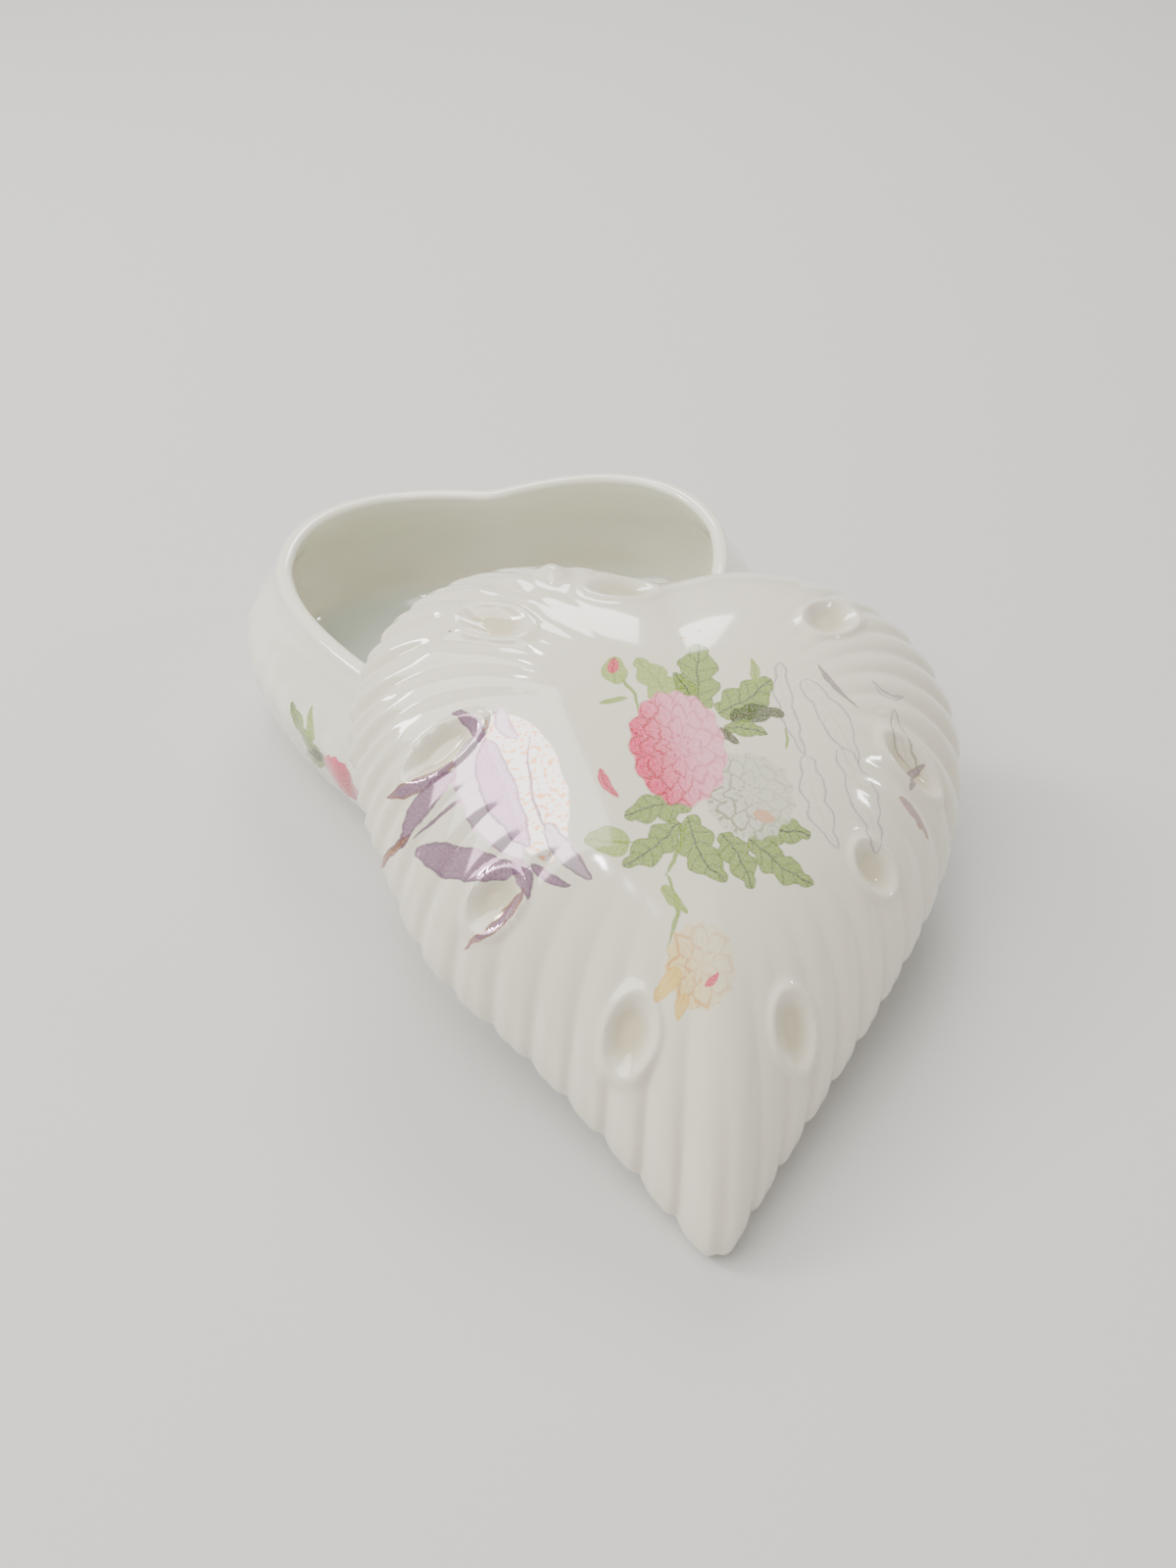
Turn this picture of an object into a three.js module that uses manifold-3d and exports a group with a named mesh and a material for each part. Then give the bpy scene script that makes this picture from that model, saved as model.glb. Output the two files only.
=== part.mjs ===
// A heart-shaped trinket box of glazed porcelain and its domed lid. The lid is off the box and
// leans on it: its tip is on the table in front, and its edge lies across the box's lip.
// Millimetres, +Z up. The origin is on the table, under the middle of the box and lid together.

import * as THREE from "three";
import { mergeVertices } from "three/addons/utils/BufferGeometryUtils.js";
import Module from "manifold-3d";

const wasm = await Module();
wasm.setup();

// The heart, seen from above, over the lid's flutes
const heartWidth = 125;
const heartLength = 139;
const notchDepth = 6;
const widestFromTip = 101;
const middleFromTip = 80;
const tipRounding = 3;
const notchRounding = 4;

// The lid, from its flat edge up
const lidHeight = 27.5;
const lidWall = 4.2;
const lidEdgeHeight = 4;
const lidEdgeTuck = 2;
const domeCrown = 2.3;
const domeShoulder = 0.588;

// The box, from its foot up
const boxHeight = 42;
const boxWall = 4;
const lipRounding = 1.2;
const lipInset = 10;
const lipClearance = 2;
const bellyOut = 10;
const bellyHeight = 23;
const footOut = 1.5;
const footCurve = 2.2;
const footWidth = 4;
const footRecess = 1.5;
const floorThickness = 4;
const floorCorner = 7;

// Flutes, which spring from the middle and curl towards the tip. They fade in between two
// shares of the way out, and beside the notch between two angles.
const fluteCount = 44;
const fluteDepth = 1.5;
const fluteCurl = 0.37;
const boxFluteDepth = 0.8;
const valleySharpness = 0.7;
const fluteShares = [0.42, 0.9];
const fluteAngles = [0.25, 0.9];

// The pressed ovals between the flutes, and the knob beside the notch
const ovalDepth = 2;
const ovalBall = 4;
const knobRadius = 3.4;

// How the lid lies: where its tip touches the table, from the box's middle, and its heading
const tipRight = 11.8;
const tipInFront = 131.8;
const lidHeading = THREE.MathUtils.degToRad(-4.7);
const restGap = 0.6;

const smoothstep = THREE.MathUtils.smoothstep;
const glaze = { color: 0xe6e2d8, roughness: 0.12, metalness: 0 };

// The heart's right half is two curves, from the notch over the lobe and down to the tip. They
// are read as a radius at each angle, which is 0 at the notch and a half turn at the tip.
const halfWidth = heartWidth / 2;
const tipSlope = 1.3;
const lobeCurve = new THREE.CubicBezierCurve(
  new THREE.Vector2(0, heartLength - notchDepth - middleFromTip),
  new THREE.Vector2(0.5 * halfWidth, 1.023 * heartLength - middleFromTip),
  new THREE.Vector2(0.955 * halfWidth, 0.955 * heartLength - middleFromTip),
  new THREE.Vector2(halfWidth, widestFromTip - middleFromTip),
);
const flankCurve = new THREE.CubicBezierCurve(
  new THREE.Vector2(halfWidth, widestFromTip - middleFromTip),
  new THREE.Vector2(1.02 * halfWidth, 0.62 * widestFromTip - middleFromTip),
  new THREE.Vector2(0.355 * halfWidth, 0.3 * widestFromTip - middleFromTip),
  new THREE.Vector2(0, -middleFromTip - tipRounding),
);
const halfOutline = [...lobeCurve.getPoints(90), ...flankCurve.getPoints(120).slice(1)]
  .map((point) => ({ angle: Math.atan2(point.x, point.y), radius: point.length() }));

function sharpRadius(angle) {
  const next = halfOutline.findIndex((point) => point.angle > angle);
  const to = halfOutline[next < 1 ? halfOutline.length - 1 : next];
  const from = halfOutline[next < 1 ? halfOutline.length - 2 : next - 1];
  return from.radius + ((to.radius - from.radius) * (angle - from.angle)) / (to.angle - from.angle);
}

// The outline moved inwards by inset, with its tip and notch rounded
function heartRadius(angle, inset) {
  const fromTip = Math.hypot(Math.PI - Math.abs(angle), tipRounding / (tipSlope * middleFromTip));
  const turn = Math.hypot(Math.PI - fromTip, notchRounding / (heartLength - middleFromTip));
  const radius = sharpRadius(turn);
  const step = 0.02;
  const slope = (sharpRadius(turn + step) - sharpRadius(turn - step)) / (2 * step);
  return radius - inset * Math.hypot(1, slope / radius);
}

function heartPoint(angle, radius, height) {
  return new THREE.Vector3(radius * Math.sin(angle), radius * Math.cos(angle), height);
}

// A flute starts at one angle in the middle and reaches the edge turned towards the tip, most
// of all on the lobes
function curledAngle(start, share) {
  const mostCurl = (3 * Math.sqrt(3)) / 4;
  const curl = (Math.sin(start) * (1 + Math.cos(start))) / mostCurl;
  return start + fluteCurl * curl * share * share;
}

// Start angles that divide the edge evenly, as many as asked, from the tip round to it again
function evenStarts(count, curled) {
  const samples = 1440;
  const along = [0];
  const angles = Array.from({ length: samples + 1 }, (_, i) => -Math.PI + (2 * Math.PI * i) / samples);
  const edge = angles.map((start) => {
    const angle = curled ? curledAngle(start, 1) : start;
    return heartPoint(angle, heartRadius(angle, 0), 0);
  });
  for (let i = 1; i <= samples; i += 1) {
    along.push(along[i - 1] + edge[i].distanceTo(edge[i - 1]));
  }
  return Array.from({ length: count }, (_, i) => {
    const target = (along[samples] * i) / count;
    const next = along.findIndex((length) => length > target);
    const part = (target - along[next - 1]) / (along[next] - along[next - 1]);
    return angles[next - 1] + part * (angles[next] - angles[next - 1]);
  });
}

// A ring is a list of points round the heart, and the next ring may have more or fewer
function ring(count, curled, place) {
  return evenStarts(count, curled).map((start, i) => place(start, i / count));
}

// Sews rings into a closed skin that begins and ends at a single point
function skin(first, rings, last) {
  const positions = [];
  const add = (...corners) => corners.forEach((corner) => positions.push(...corner.toArray()));
  const fan = (centre, around, flip) => around.forEach((here, i) => {
    const next = around[(i + 1) % around.length];
    add(centre, flip ? next : here, flip ? here : next);
  });
  fan(first, rings[0], true);
  rings.slice(1).forEach((outer, k) => {
    const inner = rings[k];
    let i = 0;
    let j = 0;
    while (i < inner.length || j < outer.length) {
      const a = inner[i % inner.length];
      const b = outer[j % outer.length];
      const stepInner = i < inner.length
        && (j === outer.length || (i + 1) / inner.length <= (j + 1) / outer.length);
      const c = stepInner ? inner[(i + 1) % inner.length] : outer[(j + 1) % outer.length];
      add(a, c, b);
      i += stepInner ? 1 : 0;
      j += stepInner ? 0 : 1;
    }
  });
  fan(last, rings[rings.length - 1], false);
  const geometry = new THREE.BufferGeometry();
  geometry.setAttribute("position", new THREE.Float32BufferAttribute(positions, 3));
  return mergeVertices(geometry, 1e-4);
}

// Rounded ribs with narrow valleys between them, as a share of the flutes' depth
function valley(around) {
  return 1 - Math.abs(Math.sin(Math.PI * fluteCount * around)) ** valleySharpness;
}

// The flutes are deepest at the edge, and fade out towards the middle and beside the notch
function lidFlute(angle, around, share) {
  const besideNotch = smoothstep(Math.abs(angle), ...fluteAngles);
  return fluteDepth * smoothstep(share, ...fluteShares) * besideNotch * valley(around);
}

// The lid's dome: its height at a share of the way from its middle to its edge
function domeHeight(share) {
  return lidEdgeHeight + (lidHeight - lidEdgeHeight) * (1 - share ** domeCrown) ** domeShoulder;
}

function lidOutside(start, around, share) {
  const angle = curledAngle(start, share);
  const radius = heartRadius(angle, 0);
  const step = 0.002;
  const slope = (domeHeight(share - step) - domeHeight(share)) / (step * radius);
  const depth = lidFlute(angle, around, share);
  const reach = share * radius - depth * Math.sin(Math.atan(slope));
  return heartPoint(angle, reach, domeHeight(share) - depth * Math.cos(Math.atan(slope)));
}

function lidBody() {
  const columns = 4 * fluteCount;
  const outside = (count, share) => ring(count, true, (start, around) => lidOutside(start, around, share));
  const edge = (inset, height) => ring(columns, true, (start, around) => {
    const angle = curledAngle(start, 1);
    return heartPoint(angle, heartRadius(angle, inset) - lidFlute(angle, around, 1), height);
  });
  const innerInset = lipInset - lipClearance;
  const inside = (share) => ring(fluteCount, false, (start) => {
    const height = (lidHeight - lidWall) * Math.sqrt(1 - share ** 3);
    return heartPoint(start, share * heartRadius(start, innerInset), height);
  });
  const rings = [
    outside(columns / 8, 0.12), outside(columns / 4, 0.26), outside(columns / 2, 0.4),
    ...[0.52, 0.64, 0.74, 0.82, 0.89, 0.945, 0.985].map((share) => outside(columns, share)),
    edge(0, lidEdgeHeight), edge(0.25 * lidEdgeTuck, 0.4 * lidEdgeHeight), edge(lidEdgeTuck, 0),
    ...[1, 0.985, 0.93, 0.82, 0.62, 0.35].map(inside),
  ];
  const top = new THREE.Vector3(0, 0, lidHeight);
  return skin(top, rings, new THREE.Vector3(0, 0, lidHeight - lidWall));
}

// Booleans, on closed meshes whose corners are shared
function toSolid(geometry) {
  const vertProperties = new Float32Array(geometry.getAttribute("position").array);
  const triVerts = new Uint32Array(geometry.getIndex().array);
  return new wasm.Manifold(new wasm.Mesh({ numProp: 3, vertProperties, triVerts }));
}

function fromSolid(solid) {
  const mesh = solid.getMesh();
  const geometry = new THREE.BufferGeometry();
  geometry.setAttribute("position", new THREE.BufferAttribute(new Float32Array(mesh.vertProperties), 3));
  geometry.setIndex(new THREE.BufferAttribute(new Uint32Array(mesh.triVerts), 1));
  return geometry;
}

// A ball squashed to half-sizes along, across and up, set on the lid's surface at an angle and
// a share of the way out, turned from the outward direction
function ballOnLid({ angle, share, along, across, up, lift, turn }) {
  const ball = new THREE.SphereGeometry(1, 18, 12);
  ball.deleteAttribute("normal");
  ball.deleteAttribute("uv");
  const at = (a, s) => heartPoint(a, s * heartRadius(a, 0), domeHeight(s));
  const place = at(angle, share);
  const outward = at(angle, share + 0.02).sub(place);
  const sideways = at(angle + 0.02, share).sub(place);
  const normal = new THREE.Vector3().crossVectors(sideways, outward).normalize();
  const lengthways = outward.normalize().applyAxisAngle(normal, -turn);
  const crossways = new THREE.Vector3().crossVectors(normal, lengthways);
  const frame = new THREE.Matrix4().makeBasis(lengthways, crossways, normal);
  frame.setPosition(place.addScaledVector(normal, lift));
  ball.scale(along, across, up);
  ball.applyMatrix4(frame);
  return toSolid(mergeVertices(ball, 1e-4));
}

// The ovals: angle in degrees from the notch, share of the way out, half-sizes and turn
const ovals = [
  { angle: 162.7, share: 0.78, half: [5.4, 3.9], turn: 0 },
  { angle: 118.6, share: 0.74, half: [4.6, 3.8], turn: 20 },
  { angle: 78.7, share: 0.74, half: [6.5, 3.1], turn: 45 },
  { angle: 41.8, share: 0.72, half: [6, 3.9], turn: 20 },
];
const recessByNotch = { angle: -13.4, share: 0.77, half: [3.2, 6.4], turn: 0 };
const knobPlace = { angle: -24.4, share: 0.8 };

function ovalCut({ angle, share, half, turn }, side) {
  const footprint = Math.sqrt(1 - ((ovalBall - ovalDepth) / ovalBall) ** 2);
  return ballOnLid({
    angle: side * THREE.MathUtils.degToRad(angle),
    share,
    along: half[0] / footprint,
    across: half[1] / footprint,
    up: ovalBall,
    lift: ovalBall - ovalDepth,
    turn: side * THREE.MathUtils.degToRad(turn),
  });
}

function lidGeometry() {
  const pairs = ovals.flatMap((oval) => [ovalCut(oval, 1), ovalCut(oval, -1)]);
  const cuts = [...pairs, ovalCut(recessByNotch, 1)];
  const knob = ballOnLid({
    angle: THREE.MathUtils.degToRad(knobPlace.angle),
    share: knobPlace.share,
    along: knobRadius,
    across: knobRadius,
    up: 0.8 * knobRadius,
    lift: 0,
    turn: 0,
  });
  let solid = toSolid(lidBody());
  cuts.forEach((cut) => {
    solid = solid.subtract(cut);
  });
  return fromSolid(solid.add(knob));
}

// How far the box's outside stands beyond its lip, at a height
function bellyBeyondLip(height) {
  if (height > bellyHeight) {
    return bellyOut * smoothstep(boxHeight - height, 0, boxHeight - bellyHeight);
  }
  return bellyOut - (bellyOut - footOut) * (1 - height / bellyHeight) ** footCurve;
}

function boxGeometry() {
  const columns = 2 * fluteCount;
  const outside = (height) => ring(columns, false, (start, around) => {
    const fadeUp = smoothstep(boxHeight - height, 0.1 * boxHeight, 0.5 * boxHeight);
    const depth = boxFluteDepth * smoothstep(height, 0, 0.3 * boxHeight) * fadeUp * valley(around);
    const inset = lipInset - bellyBeyondLip(height) + depth;
    return heartPoint(start, heartRadius(start, inset), height);
  });
  const plain = (count, inset, height) => ring(count, false, (start) => (
    heartPoint(start, heartRadius(start, inset), height)));
  const floor = footRecess + floorThickness;
  const inside = (height, extra) => {
    const wallInset = lipInset - bellyBeyondLip(height) + boxWall;
    return plain(fluteCount, wallInset + extra, height);
  };
  const rings = [
    plain(fluteCount / 2, lipInset + boxWall + 4 * floorCorner, floor),
    inside(floor, floorCorner), inside(floor + 0.25 * floorCorner, 0.35 * floorCorner),
    inside(floor + floorCorner, 0),
    ...[0.45, 0.6, 0.72, 0.84, 0.93].map((share) => inside(share * boxHeight, 0)),
    plain(fluteCount, lipInset + boxWall, boxHeight - lipRounding),
    plain(fluteCount, lipInset + boxWall - lipRounding, boxHeight),
    plain(columns, lipInset + lipRounding, boxHeight),
    plain(columns, lipInset, boxHeight - lipRounding),
    ...[0.93, 0.86, 0.78, 0.68, 0.56, 0.44, 0.32, 0.2, 0.09].map((share) => outside(share * boxHeight)),
    plain(columns, lipInset - footOut, 0),
    plain(fluteCount, lipInset - footOut + footWidth, 0),
    plain(fluteCount, lipInset - footOut + footWidth + footRecess, footRecess),
  ];
  const middle = (height) => new THREE.Vector3(0, 0, height);
  return skin(middle(floor), rings, middle(footRecess));
}

// The lid's plane, which rises from its tip, turned so that the lid heads as it should
function lidMatrix(rise) {
  const normal = new THREE.Vector3(-rise.x, -rise.y, 1).normalize();
  const heading = new THREE.Vector3(-Math.sin(lidHeading), Math.cos(lidHeading), 0);
  const forward = heading.addScaledVector(normal, -heading.dot(normal)).normalize();
  const right = new THREE.Vector3().crossVectors(forward, normal);
  const matrix = new THREE.Matrix4().makeBasis(right, forward, normal);
  const tip = heartPoint(Math.PI, heartRadius(Math.PI, lidEdgeTuck), 0).applyMatrix4(matrix);
  return matrix.setPosition(tipRight - tip.x, -tipInFront - tip.y, -tip.z);
}

// Where the lid's edge, between its outlines, stands highest over the lip on one side of the box
function firstTouch(matrix, side) {
  const toLid = matrix.clone().invert();
  const touches = [];
  for (let turn = 0; turn <= Math.PI; turn += Math.PI / 720) {
    [0, boxWall].forEach((across) => {
      const angle = side * turn;
      const onLip = heartPoint(angle, heartRadius(angle, lipInset + across), boxHeight + restGap);
      const inLid = onLip.clone().applyMatrix4(toLid);
      const lidAngle = Math.atan2(inLid.x, inLid.y);
      const reach = Math.hypot(inLid.x, inLid.y);
      const underEdge = reach < heartRadius(lidAngle, lidEdgeTuck)
        && reach > heartRadius(lidAngle, lipInset - lipClearance);
      if (underEdge) touches.push({ onLip, over: inLid.z });
    });
  }
  return touches.reduce((best, touch) => (touch.over > best.over ? touch : best)).onLip;
}

// Lets the lid down until its plane rests on the table and on both sides of the lip
function restingMatrix() {
  const rise = { x: 0, y: boxHeight / tipInFront };
  for (let pass = 0; pass < 12; pass += 1) {
    const matrix = lidMatrix(rise);
    const left = firstTouch(matrix, -1);
    const right = firstTouch(matrix, 1);
    const height = boxHeight + restGap;
    const [ax, ay] = [left.x - tipRight, left.y + tipInFront];
    const [bx, by] = [right.x - tipRight, right.y + tipInFront];
    const area = ax * by - ay * bx;
    rise.x = (height * (by - ay)) / area;
    rise.y = (height * (ax - bx)) / area;
  }
  return lidMatrix(rise);
}

function porcelain(name, geometry) {
  const mesh = new THREE.Mesh(geometry, new THREE.MeshStandardMaterial(glaze));
  mesh.name = name;
  return mesh;
}

const box = porcelain("box", boxGeometry());
const lid = porcelain("lid", lidGeometry());
restingMatrix().decompose(lid.position, lid.quaternion, lid.scale);
lid.scale.set(1, 1, 1);

const trinketBox = new THREE.Group();
trinketBox.add(box, lid);

// Everything is moved so that the origin is under the middle of the whole, on the table
trinketBox.updateMatrixWorld(true);
const lidBounds = new THREE.Box3().setFromObject(lid, true);
lid.position.z -= lidBounds.min.z;
trinketBox.updateMatrixWorld(true);
const bounds = new THREE.Box3().setFromObject(trinketBox, true);
const middle = bounds.getCenter(new THREE.Vector3());
trinketBox.position.set(-middle.x, -middle.y, -bounds.min.z);

export default trinketBox;
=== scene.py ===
# %% [markdown]
# # A heart-shaped trinket box of glazed porcelain
# The box stands open. Its lid has been lifted off and leans on it, with its tip on the table. Both
# are white porcelain under a clear glaze, with flowers printed on it. This lesson loads the plain
# solids, models each piece again with its fine relief, and then makes the glaze and the print.

import math

import bpy
import numpy as np
from mathutils import Matrix, Vector


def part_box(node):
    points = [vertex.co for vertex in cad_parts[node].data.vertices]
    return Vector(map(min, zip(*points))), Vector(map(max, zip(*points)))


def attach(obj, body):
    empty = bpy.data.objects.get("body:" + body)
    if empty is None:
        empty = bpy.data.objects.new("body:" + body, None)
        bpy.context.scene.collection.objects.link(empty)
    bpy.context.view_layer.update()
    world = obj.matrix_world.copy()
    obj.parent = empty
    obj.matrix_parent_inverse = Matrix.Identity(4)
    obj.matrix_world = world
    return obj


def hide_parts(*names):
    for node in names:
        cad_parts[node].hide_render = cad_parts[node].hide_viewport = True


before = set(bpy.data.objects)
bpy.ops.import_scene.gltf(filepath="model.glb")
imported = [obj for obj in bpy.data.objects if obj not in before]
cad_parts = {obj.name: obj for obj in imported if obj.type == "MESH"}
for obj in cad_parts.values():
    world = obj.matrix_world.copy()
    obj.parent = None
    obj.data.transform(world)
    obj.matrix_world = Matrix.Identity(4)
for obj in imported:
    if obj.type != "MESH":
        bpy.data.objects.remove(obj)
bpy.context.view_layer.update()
bpy.ops.object.select_all(action="DESELECT")

# %% [markdown]
# ## The heart
# The lid and the box share one outline, and the box's is set in from it. A heart could be drawn by
# hand as a curve, but both pieces need it at many sizes. So it is a formula: two curves for one
# half, read as a radius at each angle. The angle is 0 at the notch and a half turn at the tip.

# %% The heart's outline, in millimetres
heart_width = 125
heart_length = 139
notch_depth = 6
widest_from_tip = 101
middle_from_tip = 80
tip_rounding = 3
notch_rounding = 4
tip_slope = 1.3


def curve_points(corners, steps=160):
    t = np.linspace(0, 1, steps + 1)[:, None]
    a, b, c, d = np.array(corners, float)
    return (1 - t) ** 3 * a + 3 * (1 - t) ** 2 * t * b + 3 * (1 - t) * t**2 * c + t**3 * d


half_width = heart_width / 2
lobe = curve_points([
    (0, heart_length - notch_depth - middle_from_tip),
    (0.5 * half_width, 1.023 * heart_length - middle_from_tip),
    (0.955 * half_width, 0.955 * heart_length - middle_from_tip),
    (half_width, widest_from_tip - middle_from_tip),
])
flank = curve_points([
    (half_width, widest_from_tip - middle_from_tip),
    (1.02 * half_width, 0.62 * widest_from_tip - middle_from_tip),
    (0.355 * half_width, 0.3 * widest_from_tip - middle_from_tip),
    (0, -middle_from_tip - tip_rounding),
])
outline = np.vstack([lobe, flank[1:]])
outline_angle = np.arctan2(outline[:, 0], outline[:, 1])
outline_radius = np.hypot(outline[:, 0], outline[:, 1])


def sharp_radius(angle):
    return np.interp(angle, outline_angle, outline_radius)


def heart_radius(angle, inset=0.0):
    angle = (angle + math.pi) % (2 * math.pi) - math.pi
    from_tip = np.hypot(math.pi - np.abs(angle), tip_rounding / (tip_slope * middle_from_tip))
    turn = np.hypot(math.pi - from_tip, notch_rounding / (heart_length - middle_from_tip))
    step = 0.02
    slope = (sharp_radius(turn + step) - sharp_radius(turn - step)) / (2 * step)
    radius = sharp_radius(turn)
    return radius - inset * np.hypot(1, slope / radius)


def smooth(value, low, high):
    share = np.clip((value - low) / (high - low), 0, 1)
    return share * share * (3 - 2 * share)


print("heart radius at notch, side and tip:", heart_radius(np.array([0, math.pi / 2, math.pi])))

# %% [markdown]
# ## Flutes
# Narrow valleys run from the middle of the lid to its edge and part it into rounded ribs. They
# start straight and curl towards the tip on the lobes. They could be carved one by one, but as a
# wave round the heart they stay even. They are spread evenly along the edge, not by angle.

# %% Flutes round the heart
flute_count = 44
flute_curl = 0.52
lobe_curl = 0.2
valley_sharpness = 1.15


def curled_angle(start, share):
    return start + flute_curl * np.sin(start) * (1 + lobe_curl * np.cos(start)) * share**2.2


def even_starts(count, curled):
    starts = np.linspace(-math.pi, math.pi, 2881)
    angle = curled_angle(starts, 1) if curled else starts
    radius = heart_radius(angle)
    edge = np.stack([radius * np.sin(angle), radius * np.cos(angle)], 1)
    along = np.concatenate([[0], np.cumsum(np.linalg.norm(np.diff(edge, axis=0), axis=1))])
    return np.interp(np.arange(count) / count * along[-1], along, starts), along[-1]


def valley(around):
    return 1 - np.abs(np.sin(math.pi * flute_count * around)) ** valley_sharpness


lid_columns = 12 * flute_count
lid_starts, edge_length = even_starts(lid_columns, True)
print("edge length", round(edge_length), "mm, so one flute is", round(edge_length / flute_count, 1))

# %% [markdown]
# ## From a ball to a shell
# Both pieces are closed shells: an outside, an edge and an inside. A ball has the same make-up,
# rings between two poles, so each piece starts as one. Its rings are moved to the piece's
# profile, one after the other, and its columns follow the heart. The faces stay outwards, the
# poles stay closed, and no seam is left over.

# %% A helper that adds the ball and moves its rings


def shell_from_ball(name, columns, stations, place):
    """place(ring, column) gives each point's place in metres and the values kept with it"""
    rings = len(stations) - 1
    bpy.ops.object.select_all(action="DESELECT")
    bpy.ops.mesh.primitive_uv_sphere_add(segments=columns, ring_count=rings, radius=1)
    piece = bpy.context.object
    piece.name = name
    points = np.empty(len(piece.data.vertices) * 3)
    piece.data.vertices.foreach_get("co", points)
    points = points.reshape(-1, 3)
    ring = np.rint(np.arccos(np.clip(points[:, 2], -1, 1)) / math.pi * rings).astype(int)
    turn = np.arctan2(points[:, 1], points[:, 0]) / (2 * math.pi)
    column = np.rint(-turn * columns).astype(int) % columns
    moved, notes = place(ring, column)
    piece.data.vertices.foreach_set("co", moved.ravel())
    for note, values in notes.items():
        kind = "FLOAT" if values.ndim == 1 else "FLOAT_VECTOR"
        layer = piece.data.attributes.new(note, kind, "POINT")
        layer.data.foreach_set("value" if kind == "FLOAT" else "vector", values.astype(np.float32).ravel())
    piece.data.update()
    bpy.ops.object.shade_smooth_by_angle(angle=math.radians(60))
    return piece


# %% [markdown]
# ## The lid
# The lid is a crowned shell. Between its flutes lie pressed ovals, each with a raised rim, where
# the glaze has pooled and turned cream. A recess and a small knob sit beside the notch, and the
# left lobe's border is lumpy. The relief is laid on along the dome's normal, so that it has the
# same depth on the crown and near the edge. Each oval has its own place, as the hand-pressed ones do.

# %% The lid's sizes, in millimetres
lid_height = 27.5
lid_wall = 4.2
lid_edge_height = 4
lid_edge_tuck = 2
dome_crown = 2.3
dome_shoulder = 0.588
inner_inset = 8
flute_depth = 1.2
flute_start = 0.42
flute_pool = 0.3
plain_to_angle = 0.3
fluted_from_angle = 1.1
notch_valley_depth = 1.1
left_bulge = 3.2
oval_depth = 1.4
rim_height = 0.6
rim_reach = 1.22
rim_spread = 0.2
# each oval: its middle, half its length, half its width and its turn in degrees
lid_ovals = [
    (-15.0, -44.0, 5.6, 3.6, -8),
    (13.4, -44.3, 5.6, 3.6, 8),
    (-36.8, -20.3, 4.8, 3.6, -20),
    (32.0, -15.7, 4.6, 3.4, 20),
    (-45.6, 8.0, 6.8, 3.0, -45),
    (43.5, 5.1, 6.8, 3.0, 45),
    (-35.5, 34.5, 6.2, 3.8, -20),
    (32.1, 37.4, 6.2, 3.8, 20),
    (-9.3, 44.3, 3.2, 6.6, 0),
]
# the knob and each lump: its middle, its reach and its height
knob = (-22.8, 47.5, 3.8, 2.5)
border_lumps = [
    (-16.5, 49.0, 3.0, 0.9),
    (-30.0, 46.5, 3.2, 0.9),
    (-38.5, 43.5, 3.0, 0.8),
    (-45.0, 38.5, 3.4, 1.0),
    (-46.5, 30.0, 3.0, 0.8),
    (-28.0, 39.0, 2.4, 0.5),
    (-2.5, 48.0, 3.0, 0.6),
]
print("pressed ovals:", len(lid_ovals), "and lumps on the border:", len(border_lumps))

# %% The lid's dome and its relief


def dome_height(share):
    crown = np.clip(1 - np.clip(share, 0, 1) ** dome_crown, 0, 1)
    return lid_edge_height + (lid_height - lid_edge_height) * crown**dome_shoulder


def oval_reach(x, y, oval):
    """How far out of an oval a point is: 0 in its middle and 1 on its rim"""
    middle_x, middle_y, half_long, half_wide, turn = oval
    outward = math.atan2(middle_x, middle_y) + math.radians(turn)
    across, along = x - middle_x, y - middle_y
    lengthways = across * math.sin(outward) + along * math.cos(outward)
    crossways = across * math.cos(outward) - along * math.sin(outward)
    return np.hypot(lengthways / half_long, crossways / half_wide)


def hand_made(around):
    """How deep each flute was pressed: no two alike, and deepest on the left"""
    turn = 2 * math.pi * around
    return 0.85 + 0.2 * np.sin(3 * turn + 1.0) + 0.15 * np.sin(7 * turn) - 0.15 * np.sin(turn)


def lid_flutes(angle, around, share):
    """The long flutes, which stop short of the notch, and the finer ribs between them"""
    beside_notch = smooth(np.abs(angle), plain_to_angle, fluted_from_angle)
    long_flutes = smooth(share, flute_start, 1.0) * valley(around) * hand_made(around)
    on_left_lobe = np.exp(-(((angle + 1.3) / 0.35) ** 2))
    ribs_between = (0.12 + 0.35 * on_left_lobe) * smooth(share, 0.8, 1)
    ribs_between = ribs_between * np.cos(4 * math.pi * flute_count * around)
    return flute_depth * beside_notch * (long_flutes + ribs_between)


def left_fullness(angle):
    """The left flank stands out further than the right one"""
    return left_bulge * np.exp(-(((angle + 2.1) / 0.32) ** 2))


def lid_relief(x, y, angle, around, share):
    flutes = lid_flutes(angle, around, share)
    push = -flutes
    pooling_and_shade = flute_pool * np.clip(flutes / flute_depth, 0, 1)
    for lump_x, lump_y, lump_reach, lump_height in border_lumps:
        push = push + lump_height * np.exp(-((x - lump_x) ** 2 + (y - lump_y) ** 2) / lump_reach**2)
    for oval in lid_ovals:
        reach = oval_reach(x, y, oval)
        inside = smooth(1.25 - reach, 0, 0.9)
        flat = smooth(1.7 - reach, 0, 0.6)
        push = push * (1 - flat) - oval_depth * inside
        push = push + rim_height * np.exp(-(((reach - rim_reach) / rim_spread) ** 2))
        pooling_and_shade = np.maximum(pooling_and_shade * (1 - flat), inside)
    knob_x, knob_y, knob_reach, knob_height = knob
    away = np.hypot(x - knob_x, y - knob_y) / knob_reach
    push = push + knob_height * np.exp(-(away**2) * 1.6)
    notch_valley = np.exp(-((angle / 0.16) ** 2)) * smooth(share, 0.45, 1)
    return push - notch_valley_depth * notch_valley, pooling_and_shade


print("dome height halfway out:", round(float(dome_height(0.5)), 1), "mm")

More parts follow.
